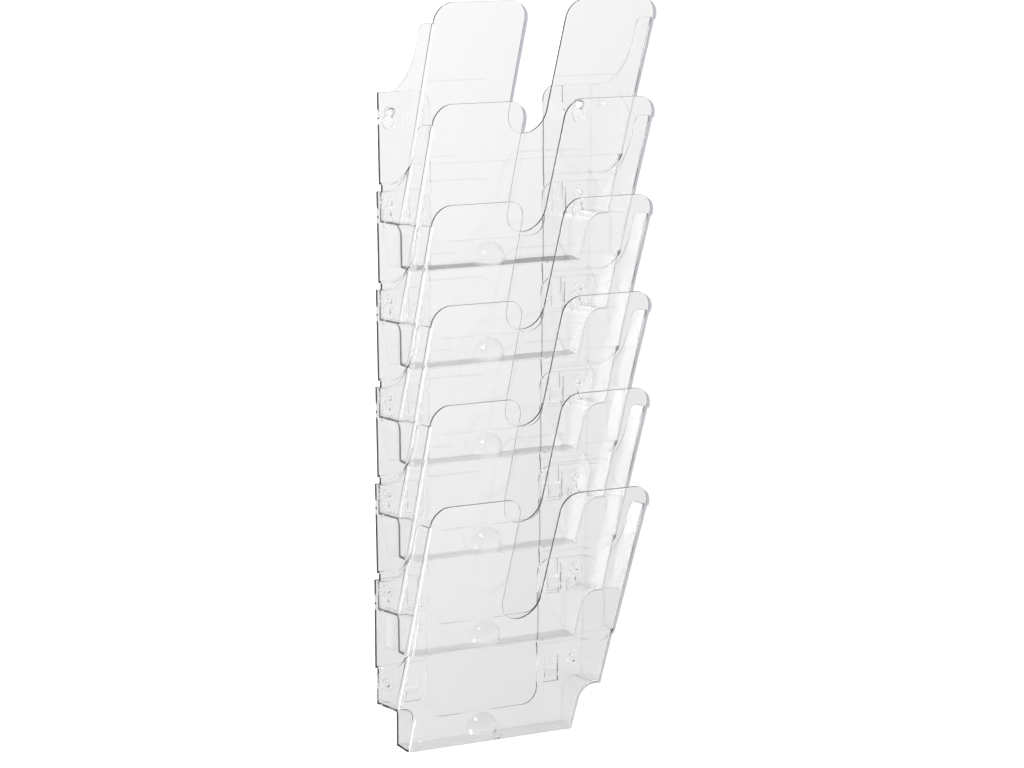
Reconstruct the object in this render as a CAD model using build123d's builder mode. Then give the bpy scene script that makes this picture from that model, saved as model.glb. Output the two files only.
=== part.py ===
"""Wall-hung cascade of six clear brochure pockets, clipped together one below the other.

Millimetres. +Z is up, +X is to the right for a reader facing the rack, and the wall is the
plane y = 0, with the reader on the -Y side. The origin lies on the wall plane, midway between
the two wall screws that the top pocket hangs on.

All six pockets are the same injection moulding. Each one is drawn in its own frame, with the
origin at the middle of the top rear edge of its back plate, and is then placed on the wall.
Heights z in the pocket sections are in that frame.
"""

import os
from math import cos, radians, sin, tan

from build123d import *

# ---------------------------------------------------------------- driving dimensions
pocket_count = 6
pitch = 95.0  # height from one pocket to the next
wall = 2.0  # moulded wall thickness
plate_width = 247.0  # outside width at the top of the back plate
draft = 1.0  # side walls lean out by this angle, degrees
lean = 19.0  # front panel leans out by this angle, degrees
plate_tilt = 1.3  # a pocket with another clipped behind it hangs at this angle, degrees

# Front panel
panel_depth = 81.4  # from the rear face to the outside of the panel, at z = 0
ear_top = 89.0
ear_radius = 18.0
notch_half_width = 22.0
notch_half_width_at_top = 23.5
notch_bottom = -40.0
corner_radius = 4.0  # outside radius between the side walls and the panel
rim_radius = 0.5  # on both edges of every rim

# Side walls: their top edge is an S-curve, and the ledge below repeats it
curve_start = 7.0
curve_radius = 69.0
side_top = 69.0
crest_radius = 12.0
ledge_drop = 88.5

# Lower part, which nests inside the next pocket
nest_half_width = 120.0
nest_step = 0.8  # its back plate stands this far in front of the plate above
shoulder_z = -125.0
cove_radius = 14.0
cup_half_width = 97.5
cup_draft = 0.5
cup_bottom = -170.0
cup_bottom_front = -172.5

# Back plate
opening_half_width = 65.5
opening_bottom = -146.0
opening_radius = 17.0
strip_radius = 14.0

# Keyholes for wall screws, near both edges of the plate
keyhole_x = 108.0
keyhole_slot_z = -19.5
keyhole_entry_z = -29.0
keyhole_slot_radius = 2.4
keyhole_entry_radius = 5.0
rim_height = 1.5
rim_slot_radius = 5.6
rim_entry_radius = 8.0

# Screw holes low on the plate, with a boss inside the pocket
low_hole_x = 108.5
low_hole_z = -106.5
low_hole_radius = 2.6
boss_radius = 6.6
boss_height = 1.2

# Latch: a window near the top of the plate takes the nose of the tongue above it
latch_x = 81.5
window_width = 17.5
window_top = -17.2
window_bottom = -34.7
channel_depth = 1.0
tongue_width = 13.0
tongue_slot = 2.8
tongue_root = -100.0
tongue_end = -123.5
nose_width = 11.5
nose_top = -112.6
nose_bottom = -120.5
nose_reach = 1.85
side_clearance = 0.6  # between the nose and the channel it slides in

# Finger dome at the foot of the back plate
dome_radius = 18.0
dome_height = 8.0
dome_z = -166.0

# Wall fixings
screw_shank_radius = 1.9
screw_head_radius = 4.0
screw_head_height = 2.2
screw_length = 34.0
screw_tip = 5.0
drive_width = 1.0
drive_length = 4.6
drive_depth = 1.2
plug_radius = 3.0
plug_bore_radius = 2.0
plug_length = 30.0
plug_slot_width = 1.0
plug_slot_length = 12.0
plug_collar_radius = 4.0
plug_collar_height = 0.8
plug_collar_gap = 0.1

# ---------------------------------------------------------------- worked out from them
panel_slope = tan(radians(lean))
draft_slope = tan(radians(draft))
cup_slope = tan(radians(cup_draft))
panel_wall = wall / cos(radians(lean))  # wall thickness of the panel, measured along y
notch_centre = notch_bottom + notch_half_width
narrowest_rim = 0.8 * wall
widest_rim = 1.1 * wall
longest_end_edge = 2.2 * wall  # the short edges across the ends of a rim stay sharp
dome_sphere = (dome_radius**2 + dome_height**2) / (2 * dome_height)
dome_centre_y = -nest_step - wall - dome_height + dome_sphere
high = 150.0  # above every edge of a pocket
low = -200.0  # below every edge of a pocket
reach = 140.0  # beyond both sides and the front of a pocket
behind = 5.0  # behind the back plate
overlap_z = -55.0  # the lower part is drawn up to here, inside the upper part

slot_play = keyhole_slot_radius - screw_shank_radius
hang_gap = 0.1  # between the top of the slot and the shank it hangs on
hang_z = -keyhole_slot_z - slot_play + hang_gap
wall_gap = 0.3  # between the keyhole rims and the wall
hang_y = -rim_height - wall_gap
head_gap = 0.25  # between the back plate and the underside of the screw head


def panel_y(z, inset=0.0):
    """y of the panel's outer face at height z, moved in by an inset measured along y."""
    return inset - panel_depth - panel_slope * z


def half_width(z):
    """Half of the outside width of the upper part at height z."""
    return plate_width / 2 + draft_slope * z


def close_along_side_curve(drop, far_z):
    """Close an outline along the S-curve, lowered by drop, and round by the height far_z."""
    turn = 90 - lean
    rise = 1 - cos(radians(turn))
    straight = (side_top - (curve_radius + crest_radius) * rise) / sin(radians(turn))
    flat = Line((behind, -drop), (-curve_start, -drop))
    hollow = JernArc(start=flat @ 1, tangent=(-1, 0), radius=curve_radius, arc_size=-turn)
    slant = Line(hollow @ 1, (hollow @ 1) + (hollow % 1) * straight)
    crest = JernArc(start=slant @ 1, tangent=slant % 1, radius=crest_radius, arc_size=turn)
    level = Line(crest @ 1, (-reach, side_top - drop))
    Polyline(level @ 1, (-reach, far_z), (behind, far_z), flat @ 0)


def notch_sides():
    """Outline of the notch above its round bottom, a little wider at the top."""
    Polyline(
        (-notch_half_width, notch_centre),
        (notch_half_width, notch_centre),
        (notch_half_width_at_top, ear_top),
        (-notch_half_width_at_top, ear_top),
        close=True,
    )


def is_rim(face):
    """True for a strip one wall thickness wide, above the ledge or round the plate's opening."""
    strip_width = 2 * face.area / face.outer_wire().length
    middle = face.center()
    placed = middle.Z > -ledge_drop / 2 or abs(middle.X) < opening_half_width + wall
    return placed and narrowest_rim < strip_width < widest_rim


def close_below_shoulder(inset):
    """Close the front outline of the lower part, inset from its outer faces."""
    nest = nest_half_width - inset
    cup_top = cup_half_width - inset
    cup_low = cup_top + cup_slope * (low - shoulder_z)
    radius = cove_radius + inset
    arc_x = cup_top + radius
    arc_z = shoulder_z - cove_radius
    for side in (-1, 1):
        shoulder = Line((side * nest, shoulder_z + inset), (side * arc_x, shoulder_z + inset))
        cove = RadiusArc(shoulder @ 1, (side * cup_top, arc_z), -side * radius)
        Polyline((side * nest, overlap_z), shoulder @ 0)
        Line(cove @ 1, (side * cup_low, low))
    Line((-nest, overlap_z), (nest, overlap_z))
    Line((-cup_low, low), (cup_low, low))


# ---------------------------------------------------------------- the pocket moulding
# Outside of the upper part: front outline crossed with the side outline
with BuildPart() as upper:
    with BuildSketch(Plane.XZ):
        with BuildLine():
            Polyline(
                (-half_width(low), low),
                (half_width(low), low),
                (half_width(side_top), side_top),
                (-half_width(side_top), side_top),
                close=True,
            )
        make_face()
    extrude(amount=reach)
    with BuildSketch(Plane.YZ):
        with BuildLine():
            Polyline(
                (0, low),
                (0, side_top),
                (panel_y(side_top), side_top),
                (panel_y(low), low),
                close=True,
            )
        make_face()
    extrude(amount=reach, both=True, mode=Mode.INTERSECT)
    front = upper.edges().filter_by(lambda edge: abs(edge.tangent_at(0.5).Z) > 0.5)
    fillet(front.sort_by(Axis.Y)[:2], corner_radius)
    with BuildSketch(Plane.YZ):
        with BuildLine():
            close_along_side_curve(drop=0, far_z=high)
        make_face()
        with BuildLine():
            close_along_side_curve(drop=ledge_drop, far_z=low)
        make_face()
    extrude(amount=reach, both=True, mode=Mode.SUBTRACT)

# Space inside the upper part, open at the top and ending on the ledge
with BuildPart() as upper_space:
    with BuildSketch(Plane.XZ):
        with BuildLine():
            Polyline(
                (-half_width(low) + wall, low),
                (half_width(low) - wall, low),
                (half_width(high) - wall, high),
                (-half_width(high) + wall, high),
                close=True,
            )
        make_face()
    extrude(amount=2 * reach)
    with BuildSketch(Plane.YZ):
        with BuildLine():
            Polyline(
                (-wall, low),
                (-wall, high),
                (panel_y(high, panel_wall), high),
                (panel_y(low, panel_wall), low),
                close=True,
            )
        make_face()
    extrude(amount=reach, both=True, mode=Mode.INTERSECT)
    front = upper_space.edges().filter_by(lambda edge: abs(edge.tangent_at(0.5).Z) > 0.5)
    fillet(front.sort_by(Axis.Y)[:2], corner_radius - wall)
    with BuildSketch(Plane.YZ):
        with BuildLine():
            close_along_side_curve(drop=ledge_drop - wall, far_z=low)
        make_face()
    extrude(amount=reach, both=True, mode=Mode.SUBTRACT)


def lower_block(inset):
    """The lower part with its shoulders and cup, as a solid inset from its outer faces."""
    with BuildPart() as block:
        with BuildSketch(Plane.XZ):
            with BuildLine():
                close_below_shoulder(inset)
            make_face()
        extrude(amount=reach)
        with BuildSketch(Plane.YZ):
            back = -nest_step - inset
            panel_inset = inset / cos(radians(lean))
            with BuildLine():
                Polyline(
                    (back, overlap_z),
                    (panel_y(overlap_z, panel_inset), overlap_z),
                    (panel_y(cup_bottom_front, panel_inset), cup_bottom_front + inset),
                    (back, cup_bottom + inset),
                    close=True,
                )
            make_face()
        extrude(amount=reach, both=True, mode=Mode.INTERSECT)
        panel = block.faces().sort_by(Axis.Y)[0]
        sides = panel.edges().filter_by(lambda edge: abs(edge.tangent_at(0.5).Z) > 0.5)
        fillet(sides, corner_radius - inset)
    return block.part


def dome_ball(radius):
    """A ball round the centre of the finger dome, without what lies behind the plate or below it."""
    with BuildPart() as ball:
        with Locations((0, dome_centre_y, dome_z)):
            Sphere(radius)
        split(bisect_by=Plane.XZ.offset(nest_step), keep=Keep.TOP)
        split(bisect_by=Plane.XY.offset(cup_bottom + wall / 2), keep=Keep.TOP)
    return ball.part


# The ears: the part of the panel that stands above the side walls
with BuildPart() as ears:
    with BuildSketch(Plane.XZ) as ear_outline:
        with BuildLine():
            Polyline(
                (-half_width(side_top), side_top),
                (half_width(side_top), side_top),
                (half_width(ear_top), ear_top),
                (-half_width(ear_top), ear_top),
                close=True,
            )
        make_face()
        with BuildLine():
            notch_sides()
        make_face(mode=Mode.SUBTRACT)
        fillet(ear_outline.vertices().group_by(Axis.Y)[-1], ear_radius)
    extrude(amount=reach)
    with BuildSketch(Plane.YZ):
        with BuildLine():
            Polyline(
                (panel_y(side_top), side_top),
                (panel_y(ear_top), ear_top),
                (panel_y(ear_top, panel_wall), ear_top),
                (panel_y(side_top, panel_wall), side_top),
                close=True,
            )
        make_face()
    extrude(amount=reach, both=True, mode=Mode.INTERSECT)

with BuildPart() as moulding:
    add(upper.part)
    add(lower_block(0))
    add(ears.part)
    add(upper_space.part, mode=Mode.SUBTRACT)
    add(lower_block(wall), mode=Mode.SUBTRACT)

    # Notch in the panel
    with BuildSketch(Plane.XZ):
        with Locations((0, notch_centre)):
            Circle(notch_half_width)
        with BuildLine():
            notch_sides()
        make_face()
    extrude(amount=reach, mode=Mode.SUBTRACT)

    # Opening between the two strips of the back plate
    with BuildSketch(Plane.XZ.offset(-behind)) as opening:
        with Locations((0, opening_bottom)):
            Rectangle(2 * opening_half_width, high, align=(Align.CENTER, Align.MIN))
        fillet(opening.vertices().group_by(Axis.Y)[0], opening_radius)
    extrude(amount=2 * behind, mode=Mode.SUBTRACT)
    top_edges = moulding.edges().filter_by(Axis.Y).filter_by_position(Axis.Z, -0.1, 0.1)
    inner_corners = top_edges.sort_by(lambda edge: abs(edge.center().X))[:2]
    fillet(inner_corners, strip_radius)

    # Finger dome: a hollow spherical bulge standing on the floor
    add(dome_ball(dome_sphere))
    add(dome_ball(dome_sphere - wall), mode=Mode.SUBTRACT)

    # Rounded rims: both long edges of every strip that ends a wall
    rim_edges = moulding.faces().filter_by(is_rim).edges()
    fillet(rim_edges.filter_by(lambda edge: edge.length > longest_end_edge), rim_radius)

    # Keyholes, with a raised rim on the rear that keeps the plate off the wall
    with BuildSketch(Plane.XZ.offset(-rim_height)):
        with Locations(*((side * keyhole_x, keyhole_slot_z) for side in (-1, 1))):
            Circle(rim_slot_radius)
        with Locations(*((side * keyhole_x, keyhole_entry_z) for side in (-1, 1))):
            Circle(rim_entry_radius)
    extrude(amount=rim_height)
    with BuildSketch(Plane.XZ.offset(-behind)):
        keyhole_length = keyhole_slot_z - keyhole_entry_z
        for side in (-1, 1):
            with Locations((side * keyhole_x, keyhole_slot_z)):
                Circle(keyhole_slot_radius)
                Rectangle(2 * keyhole_slot_radius, keyhole_length, align=(Align.CENTER, Align.MAX))
            with Locations((side * keyhole_x, keyhole_entry_z)):
                Circle(keyhole_entry_radius)
    extrude(amount=2 * behind, mode=Mode.SUBTRACT)

    # Low screw holes, with a boss on the inside
    with BuildSketch(Plane.XZ.offset(nest_step + wall)):
        with Locations(*((side * low_hole_x, low_hole_z) for side in (-1, 1))):
            Circle(boss_radius)
    extrude(amount=boss_height)
    with BuildSketch(Plane.XZ.offset(-behind)):
        with Locations(*((side * low_hole_x, low_hole_z) for side in (-1, 1))):
            Circle(low_hole_radius)
    extrude(amount=2 * behind, mode=Mode.SUBTRACT)

    # Latch windows, and the shallow channel above each that the nose slides in by
    with BuildSketch(Plane.XZ.offset(-behind)):
        with Locations(*((side * latch_x, window_top) for side in (-1, 1))):
            Rectangle(window_width, window_top - window_bottom, align=(Align.CENTER, Align.MAX))
    extrude(amount=2 * behind, mode=Mode.SUBTRACT)
    with BuildSketch(Plane.XZ.offset(wall - channel_depth)):
        channel_width = nose_width + 2 * side_clearance
        with Locations(*((side * latch_x, 0) for side in (-1, 1))):
            Rectangle(channel_width, -window_top, align=(Align.CENTER, Align.MAX))
    extrude(amount=behind, mode=Mode.SUBTRACT)

    # Latch tongues, each freed by a U-shaped slot, with a nose that points to the rear
    with BuildSketch(Plane.XZ.offset(-behind)):
        tongue_length = tongue_root - tongue_end
        with Locations(*((side * latch_x, tongue_root) for side in (-1, 1))):
            Rectangle(
                tongue_width + 2 * tongue_slot,
                tongue_length + tongue_slot,
                align=(Align.CENTER, Align.MAX),
            )
            Rectangle(
                tongue_width,
                tongue_length,
                align=(Align.CENTER, Align.MAX),
                mode=Mode.SUBTRACT,
            )
    extrude(amount=2 * behind, mode=Mode.SUBTRACT)
    for side in (-1, 1):
        with BuildSketch(Plane.YZ.offset(side * latch_x)):
            with BuildLine():
                Polyline(
                    (-nest_step, nose_top),
                    (-nest_step + nose_reach, nose_top),
                    (-nest_step, nose_bottom),
                    close=True,
                )
            make_face()
        extrude(amount=nose_width / 2, both=True)

# ---------------------------------------------------------------- the six pockets on the wall
os.makedirs("parts", exist_ok=True)

for number in range(1, pocket_count + 1):
    tilt = plate_tilt if number < pocket_count else 0.0
    top_rear_edge = (0, hang_y, hang_z - pitch * (number - 1))
    with BuildPart() as pocket:
        with Locations(Location(top_rear_edge, (-tilt, 0, 0))):
            add(moulding.part)
    pocket.part.label = f"pocket_{number}"
    export_step(pocket.part, f"parts/pocket_{number}.step")

# ---------------------------------------------------------------- wall fixings
plate_front_y = hang_y - wall + keyhole_slot_z * tan(radians(plate_tilt))
head_y = plate_front_y - head_gap  # underside of the screw head

for side, name in ((-1, "left"), (1, "right")):
    # Pan-head screw with a cross recess; the axis of the outline is the sketch's Y
    with BuildPart() as screw:
        with BuildSketch(Plane.XY):
            with BuildLine():
                Polyline(
                    (0, screw_length),
                    (screw_shank_radius, screw_length - screw_tip),
                    (screw_shank_radius, 0),
                    (screw_head_radius, 0),
                )
                RadiusArc(
                    (screw_head_radius, 0),
                    (0, -screw_head_height),
                    (screw_head_radius**2 + screw_head_height**2) / (2 * screw_head_height),
                )
                Line((0, -screw_head_height), (0, screw_length))
            make_face()
        revolve(axis=Axis.Y)
        with BuildSketch(Plane.XZ.offset(screw_head_height)):
            Rectangle(drive_length, drive_width)
            Rectangle(drive_width, drive_length)
        extrude(amount=-drive_depth, mode=Mode.SUBTRACT)
    with BuildPart() as placed_screw:
        with Locations((side * keyhole_x, head_y, 0)):
            add(screw.part)
    placed_screw.part.label = f"wall_screw_{name}"
    export_step(placed_screw.part, f"parts/wall_screw_{name}.step")

    # Expansion plug: a tube with a thin collar and a slot across its inner end, so it can spread
    plug_plane = Plane(origin=(side * keyhole_x, plug_collar_gap, 0), x_dir=(1, 0, 0), z_dir=(0, 1, 0))
    with BuildPart() as plug:
        with BuildSketch(plug_plane):
            Circle(plug_radius)
        extrude(amount=plug_length)
        with BuildSketch(plug_plane):
            Circle(plug_collar_radius)
        extrude(amount=plug_collar_height)
        with BuildSketch(plug_plane):
            Circle(plug_bore_radius)
        extrude(amount=plug_length, mode=Mode.SUBTRACT)
        with BuildSketch(plug_plane.offset(plug_length - plug_slot_length)):
            Rectangle(2 * plug_collar_radius, plug_slot_width)
        extrude(amount=plug_slot_length, mode=Mode.SUBTRACT)
    plug.part.label = f"wall_plug_{name}"
    export_step(plug.part, f"parts/wall_plug_{name}.step")
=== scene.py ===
"""The look of the clear brochure rack: its materials, the plain stage, the light and the camera.

Everything is in metres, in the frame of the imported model: +Z is up, +X is to the right for a
reader facing the rack, and the wall is the plane y = 0, with the reader on the -Y side.
The six pockets and the wall fixings are the CAD nodes themselves, with better materials.
"""

import math

import bpy
from mathutils import Matrix, Vector


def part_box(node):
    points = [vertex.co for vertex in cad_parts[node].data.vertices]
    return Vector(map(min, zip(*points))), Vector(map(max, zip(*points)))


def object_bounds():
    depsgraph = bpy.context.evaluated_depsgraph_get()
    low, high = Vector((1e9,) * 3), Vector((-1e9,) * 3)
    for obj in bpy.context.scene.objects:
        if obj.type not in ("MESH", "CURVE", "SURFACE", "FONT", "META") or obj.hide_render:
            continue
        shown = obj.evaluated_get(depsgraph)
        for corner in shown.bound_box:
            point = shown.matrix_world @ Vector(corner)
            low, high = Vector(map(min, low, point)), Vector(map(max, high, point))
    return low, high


MM = 0.001

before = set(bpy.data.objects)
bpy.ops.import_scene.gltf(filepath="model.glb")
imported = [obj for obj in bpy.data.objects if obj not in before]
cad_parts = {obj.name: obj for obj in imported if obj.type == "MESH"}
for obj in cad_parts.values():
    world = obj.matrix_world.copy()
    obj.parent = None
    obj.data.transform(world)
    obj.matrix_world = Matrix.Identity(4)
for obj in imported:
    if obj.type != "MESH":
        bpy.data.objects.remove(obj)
cad_low, cad_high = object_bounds()
scene = bpy.context.scene
pockets = sorted(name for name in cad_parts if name.startswith("pocket"))
rack_low = Vector(map(min, *(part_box(name)[0] for name in pockets)))
rack_high = Vector(map(max, *(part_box(name)[1] for name in pockets)))
rack_middle = (rack_low + rack_high) / 2


def grey(value):
    """An even grey as a colour with full opacity."""
    return (value, value, value, 1.0)


# ---------------------------------------------------------------- clear plastic
CLEAR = grey(0.998)
EDGE_PAINTED_SHADE = (0.86, 0.87, 0.89, 1.0)  # painted shade of the surface where it is seen nearly edge-on, for its dark edges
EDGE_START = 0.70  # share of edge-on view at which that painted shade begins
REFRACTION = 1.59  # polystyrene
RIPPLE_SCALE = 22.0  # ripples per metre, the slow waves of a moulded sheet
RIPPLE_DETAIL = 2.0
RIPPLE_ROUGHNESS = 0.4
RIPPLE_STRENGTH = 0.12
RIPPLE_HEIGHT = 0.4 * MM
DEPTH_TINT = (0.80, 0.80, 0.82, 1.0)  # of the light that has crossed much plastic
DEPTH_DENSITY = 5.0
SLATE_SHADOW = (0.20, 0.24, 0.30, 1.0)  # of a shadow that the camera sees on the bare wall
FAINT_SHADOW = (0.93, 0.935, 0.94, 1.0)  # of any other shadow, where it falls from an edge

# ---------------------------------------------------------------- fixings
ZINC_COLOUR = (0.62, 0.63, 0.65, 1.0)
NYLON_COLOUR = (0.45, 0.46, 0.47, 1.0)

# ---------------------------------------------------------------- stage
WALL_GAP = 0.2 * MM  # the wall's face is this far in front of the plane y = 0
BARE_WALL = (1.45, 1.46, 1.48, 1.0)  # over-bright to the camera, so only dark shadows show on it
PAINTED_WALL_SHADE_TOP = grey(0.96)  # painted shade of the wall seen through the rack, at the rack's top
PAINTED_WALL_SHADE_BOTTOM = grey(0.79)  # and at its bottom, where the painted shade is deepest
FLOOR_DROP = 1.0  # below the rack, which leaves room for the pockets to slide down
FLOOR_COLOUR = grey(0.62)
FLOOR_GLOW = 0.60
STAGE_SIZE = 40.0

# ---------------------------------------------------------------- light
HORIZON = 0.75  # brightness of the room level with the rack
OVERHEAD = 0.10  # and far above and below it
FADE_START = 0.15  # the one fades into the other between these sines of the elevation
FADE_END = 0.45
LAMP_LEFT = 80 * MM  # the lamp is this far left of the camera and above it, so shadows stay thin
LAMP_ABOVE = 60 * MM
LAMP_RADIUS = 20 * MM
LAMP_POWER = 408.0
CARD_DISTANCE = 1.2  # from the middle of the rack to the two white cards that the plastic mirrors
CARD_STRENGTH = 16.0

# ---------------------------------------------------------------- camera
CAMERA_AZIMUTH = -33.01  # degrees round from the -Y side, towards -X
CAMERA_ELEVATION = 9.16
CAMERA_ROLL = 0.62
CAMERA_DISTANCE = 3.640
CAMERA_LENS = 131.66  # millimetres, on a 36 mm wide sensor
CAMERA_REACH = 100.0
CAMERA_AIM = rack_middle + Vector((-1.7, 0, -6.0)) * MM


# ---------------------------------------------------------------- node helpers
def new_material(name):
    """An empty node material and its output node."""
    material = bpy.data.materials.new(name)
    material.use_nodes = True
    material.node_tree.nodes.clear()
    output = material.node_tree.nodes.new("ShaderNodeOutputMaterial")
    return material, output


def node(tree, kind, inputs=(), **settings):
    """A node of this kind, with its settings set and each named input given a value or a link."""
    made = tree.nodes.new(kind)
    for key, value in settings.items():
        setattr(made, key, value)
    for key, value in dict(inputs).items():
        if isinstance(value, bpy.types.NodeSocket):
            tree.links.new(value, made.inputs[key])
        else:
            made.inputs[key].default_value = value
    return made


def tint(tree, share, first, second):
    """A colour between first (share 0) and second (share 1); a Mix node's colours are 6 and 7."""
    blend = node(tree, "ShaderNodeMix", {0: share, 6: first, 7: second}, data_type="RGBA")
    return blend.outputs[2]


def either(tree, first, second):
    """The larger of two values, which is 0 only where both are 0."""
    return node(tree, "ShaderNodeMath", {0: first, 1: second}, operation="MAXIMUM").outputs[0]


def mix(tree, share, first, second):
    """A surface between first (share 0) and second (share 1)."""
    return node(tree, "ShaderNodeMixShader", {0: share, 1: first, 2: second}).outputs[0]


# ---------------------------------------------------------------- materials of the rack
def ripples(tree, place):
    """The surface direction of a moulded sheet that isn't quite flat."""
    waves = node(
        tree,
        "ShaderNodeTexNoise",
        {
            "Vector": place,
            "Scale": RIPPLE_SCALE,
            "Detail": RIPPLE_DETAIL,
            "Roughness": RIPPLE_ROUGHNESS,
        },
    ).outputs["Fac"]
    bump = node(
        tree,
        "ShaderNodeBump",
        {"Height": waves, "Strength": RIPPLE_STRENGTH, "Distance": RIPPLE_HEIGHT},
    )
    return bump.outputs["Normal"]


def clear_plastic():
    """Crystal-clear polystyrene, with painted slate-grey shade where it is seen edge-on.

    Shadow rays and diffuse rays pass straight through it. The lamp's shadow is dark slate where
    the camera sees it on the bare wall, and faint where it is seen through the plastic.
    """
    material, output = new_material("clear_polystyrene")
    tree = material.node_tree
    place = node(tree, "ShaderNodeTexCoord").outputs["Object"]
    facing = node(tree, "ShaderNodeLayerWeight", {"Blend": 0.5}).outputs["Facing"]
    edge = node(
        tree, "ShaderNodeMapRange", {"Value": facing, "From Min": EDGE_START, "From Max": 1.0}
    ).outputs[0]
    glass = node(
        tree,
        "ShaderNodeBsdfPrincipled",
        {
            # painted shade: the colour turns slate grey where the surface is seen edge-on
            "Base Color": tint(tree, edge, CLEAR, EDGE_PAINTED_SHADE),
            "Roughness": 0.0,
            "IOR": REFRACTION,
            "Transmission Weight": 1.0,
            "Normal": ripples(tree, place),
        },
    ).outputs["BSDF"]
    path = node(tree, "ShaderNodeLightPath").outputs
    not_bare = either(tree, path["Transmission Depth"], path["Is Diffuse Ray"])
    soft_shadow = tint(tree, edge, CLEAR, FAINT_SHADOW)
    shadow = tint(tree, not_bare, SLATE_SHADOW, soft_shadow)
    window = node(tree, "ShaderNodeBsdfTransparent", {"Color": shadow}).outputs[0]
    light_ray = either(tree, path["Is Shadow Ray"], path["Is Diffuse Ray"])
    tree.links.new(mix(tree, light_ray, glass, window), output.inputs["Surface"])
    inside = node(
        tree, "ShaderNodeVolumeAbsorption", {"Color": DEPTH_TINT, "Density": DEPTH_DENSITY}
    ).outputs[0]
    tree.links.new(inside, output.inputs["Volume"])
    return material


def grained(name, colour, metallic, grain_scale, grain_detail, smoothest, roughest):
    """An opaque material whose roughness varies with a fine grain."""
    material, output = new_material(name)
    tree = material.node_tree
    place = node(tree, "ShaderNodeTexCoord").outputs["Object"]
    grain = node(
        tree,
        "ShaderNodeTexNoise",
        {"Vector": place, "Scale": grain_scale, "Detail": grain_detail},
    ).outputs["Fac"]
    rough = node(
        tree, "ShaderNodeMapRange", {"Value": grain, "To Min": smoothest, "To Max": roughest}
    ).outputs[0]
    surface = node(
        tree,
        "ShaderNodeBsdfPrincipled",
        {"Base Color": colour, "Metallic": metallic, "Roughness": rough},
    ).outputs[0]
    tree.links.new(surface, output.inputs["Surface"])
    return material


def zinc_steel():
    """Bright zinc plating on a steel screw."""
    return grained(
        "zinc_plated_steel",
        ZINC_COLOUR,
        metallic=1.0,
        grain_scale=900.0,
        grain_detail=4.0,
        smoothest=0.22,
        roughest=0.42,
    )


def plug_nylon():
    """Grey moulded nylon."""
    return grained(
        "grey_nylon",
        NYLON_COLOUR,
        metallic=0.0,
        grain_scale=700.0,
        grain_detail=3.0,
        smoothest=0.4,
        roughest=0.6,
    )


finishes = {
    "clear_plastic": clear_plastic(),
    "zinc_steel": zinc_steel(),
    "plug_nylon": plug_nylon(),
}
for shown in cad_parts.values():
    for material_slot in shown.material_slots:
        material_slot.material = finishes[material_slot.material.name]


# ---------------------------------------------------------------- materials of the stage
def floor_paint():
    """Matt pale paint that also glows, as a floor does under studio lights."""
    material, output = new_material("floor_paint")
    tree = material.node_tree
    paint = node(tree, "ShaderNodeBsdfDiffuse", {"Color": FLOOR_COLOUR}).outputs[0]
    glow = node(tree, "ShaderNodeEmission", {"Strength": FLOOR_GLOW}).outputs[0]
    lit = node(tree, "ShaderNodeAddShader", {0: paint, 1: glow}).outputs[0]
    tree.links.new(lit, output.inputs["Surface"])
    material.cycles.emission_sampling = "NONE"
    return material


def wall_paint():
    """Matt white paint, seen only from its front, and brighter where it is bare.

    Seen through the rack it carries painted shade that deepens from the rack's top to its bottom.
    """
    material, output = new_material("wall_paint")
    tree = material.node_tree
    here = node(tree, "ShaderNodeNewGeometry").outputs
    height = node(tree, "ShaderNodeSeparateXYZ", {0: here["Position"]}).outputs["Z"]
    # painted shade: the wall seen through the rack darkens towards the rack's bottom
    low_share = node(
        tree,
        "ShaderNodeMapRange",
        {"Value": height, "From Min": rack_high.z, "From Max": rack_low.z},
    ).outputs[0]
    painted_shade_behind_rack = tint(tree, low_share, PAINTED_WALL_SHADE_TOP, PAINTED_WALL_SHADE_BOTTOM)
    is_bare = node(tree, "ShaderNodeLightPath").outputs["Is Camera Ray"]
    colour = tint(tree, is_bare, painted_shade_behind_rack, BARE_WALL)
    paint = node(tree, "ShaderNodeBsdfDiffuse", {"Color": colour}).outputs[0]
    gone = node(tree, "ShaderNodeBsdfTransparent").outputs[0]
    tree.links.new(mix(tree, here["Backfacing"], paint, gone), output.inputs["Surface"])
    return material


def card_glow(name):
    """An even white glow."""
    material, output = new_material(name)
    tree = material.node_tree
    glow = node(tree, "ShaderNodeEmission", {"Strength": CARD_STRENGTH}).outputs[0]
    tree.links.new(glow, output.inputs["Surface"])
    return material


# ---------------------------------------------------------------- stage
def plane(name, corner, side_a, side_b, material):
    """A rectangle from a corner and two sides, facing side_a x side_b."""
    corners = [corner, corner + side_a, corner + side_a + side_b, corner + side_b]
    mesh = bpy.data.meshes.new(name)
    mesh.from_pydata(corners, [], [(0, 1, 2, 3)])
    mesh.materials.append(material)
    made = bpy.data.objects.new(name, mesh)
    scene.collection.objects.link(made)
    return made


def direction(azimuth, elevation):
    """Unit vector from the rack towards a place at this azimuth and elevation, in degrees."""
    around = math.radians(azimuth)
    above = math.radians(elevation)
    flat = math.cos(above)
    return Vector((math.sin(around) * flat, -math.cos(around) * flat, math.sin(above)))


def card(name, azimuth, elevation, wide, tall):
    """A glowing card that faces the rack and shows only in its mirror images and through it."""
    outward = direction(azimuth, elevation)
    across = Vector((0, 0, 1)).cross(outward).normalized() * wide
    up = outward.cross(across).normalized() * tall
    corner = rack_middle + outward * CARD_DISTANCE - (across + up) / 2
    made = plane(name, corner, across, up, card_glow(name))
    made.visible_camera = False
    made.visible_diffuse = False
    made.visible_shadow = False


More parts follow.
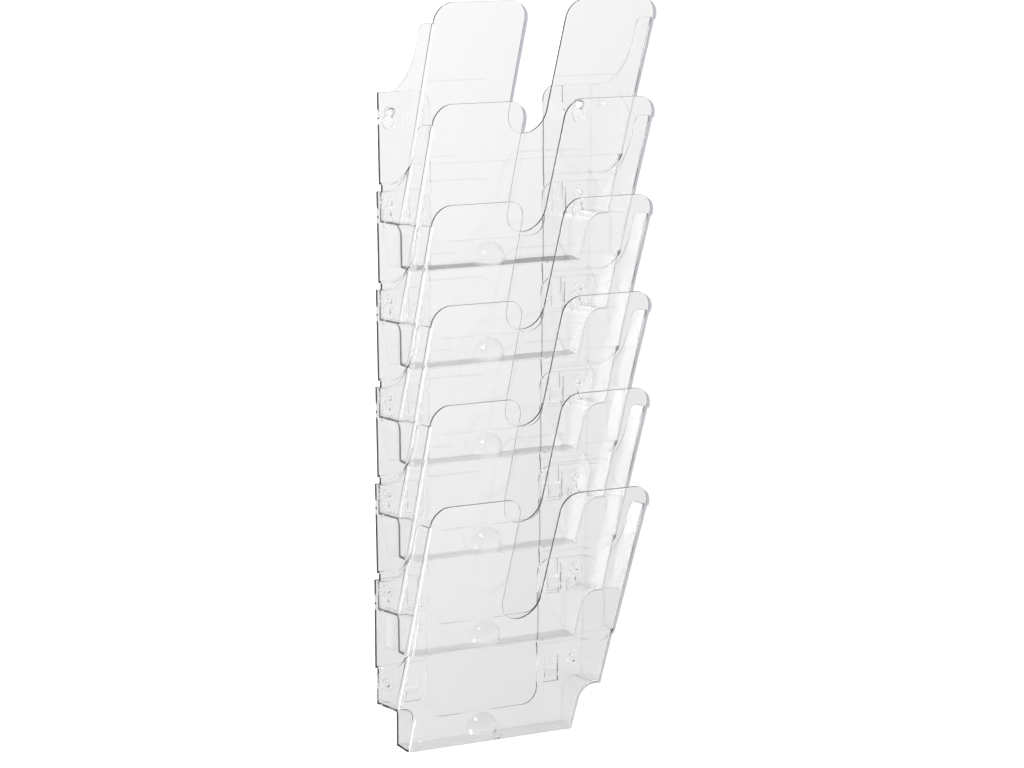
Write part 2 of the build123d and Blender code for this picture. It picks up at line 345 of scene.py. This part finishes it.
floor_z = cad_low.z - FLOOR_DROP
half = STAGE_SIZE / 2
along_wall = Vector((STAGE_SIZE, 0, 0))
floor_corner = Vector((-half, -half, floor_z))
floor = plane("floor", floor_corner, along_wall, Vector((0, STAGE_SIZE, 0)), floor_paint())
floor.visible_diffuse = False  # it is mirrored in the plastic, but does not light the wall
wall_corner = Vector((-half, -WALL_GAP, floor_z))
plane("wall", wall_corner, along_wall, Vector((0, 0, half)), wall_paint())
card("low_left_card", azimuth=-46, elevation=-40, wide=0.25, tall=0.9)
card("high_card", azimuth=-14, elevation=38, wide=0.3, tall=0.3)


# ---------------------------------------------------------------- light and camera
def light_room():
    """Even light from all round the rack, weaker from above and below."""
    world = bpy.data.worlds.new("studio")
    world.use_nodes = True
    tree = world.node_tree
    toward = node(tree, "ShaderNodeTexCoord").outputs["Generated"]
    upward = node(tree, "ShaderNodeSeparateXYZ", {0: toward}).outputs["Z"]
    off_level = node(tree, "ShaderNodeMath", {0: upward}, operation="ABSOLUTE").outputs[0]
    brightness = node(
        tree,
        "ShaderNodeMapRange",
        {
            "Value": off_level,
            "From Min": FADE_START,
            "From Max": FADE_END,
            "To Min": HORIZON,
            "To Max": OVERHEAD,
        },
    ).outputs[0]
    background = tree.nodes["Background"].inputs
    background["Color"].default_value = grey(1.0)
    tree.links.new(brightness, background["Strength"])
    world.cycles.sampling_method = "NONE"  # it lights by diffuse rays, which pass the plastic
    scene.world = world


def add_camera():
    """The camera at the photograph's viewing angle."""
    camera = bpy.data.objects.new("camera", bpy.data.cameras.new("camera"))
    camera.data.lens = CAMERA_LENS
    camera.data.clip_end = CAMERA_REACH
    back = direction(CAMERA_AZIMUTH, CAMERA_ELEVATION)
    right = Vector((0, 0, 1)).cross(back).normalized()
    level = Matrix((right, back.cross(right), back)).transposed()
    turn = level @ Matrix.Rotation(math.radians(CAMERA_ROLL), 3, "Z")
    camera.matrix_world = Matrix.LocRotScale(CAMERA_AIM + back * CAMERA_DISTANCE, turn, None)
    scene.collection.objects.link(camera)
    scene.camera = camera
    return camera


def add_lamp(camera):
    """A small lamp beside the camera, which draws thin shadows along right-hand edges."""
    lamp = bpy.data.objects.new("key", bpy.data.lights.new("key", "POINT"))
    lamp.data.energy = LAMP_POWER
    lamp.data.shadow_soft_size = LAMP_RADIUS
    lamp.location = camera.matrix_world @ Vector((-LAMP_LEFT, LAMP_ABOVE, 0))
    scene.collection.objects.link(lamp)


light_room()
add_lamp(add_camera())

scene.view_settings.view_transform = "Standard"
scene.cycles.max_bounces = 32
scene.cycles.transmission_bounces = 32
scene.cycles.glossy_bounces = 8
scene.cycles.transparent_max_bounces = 64
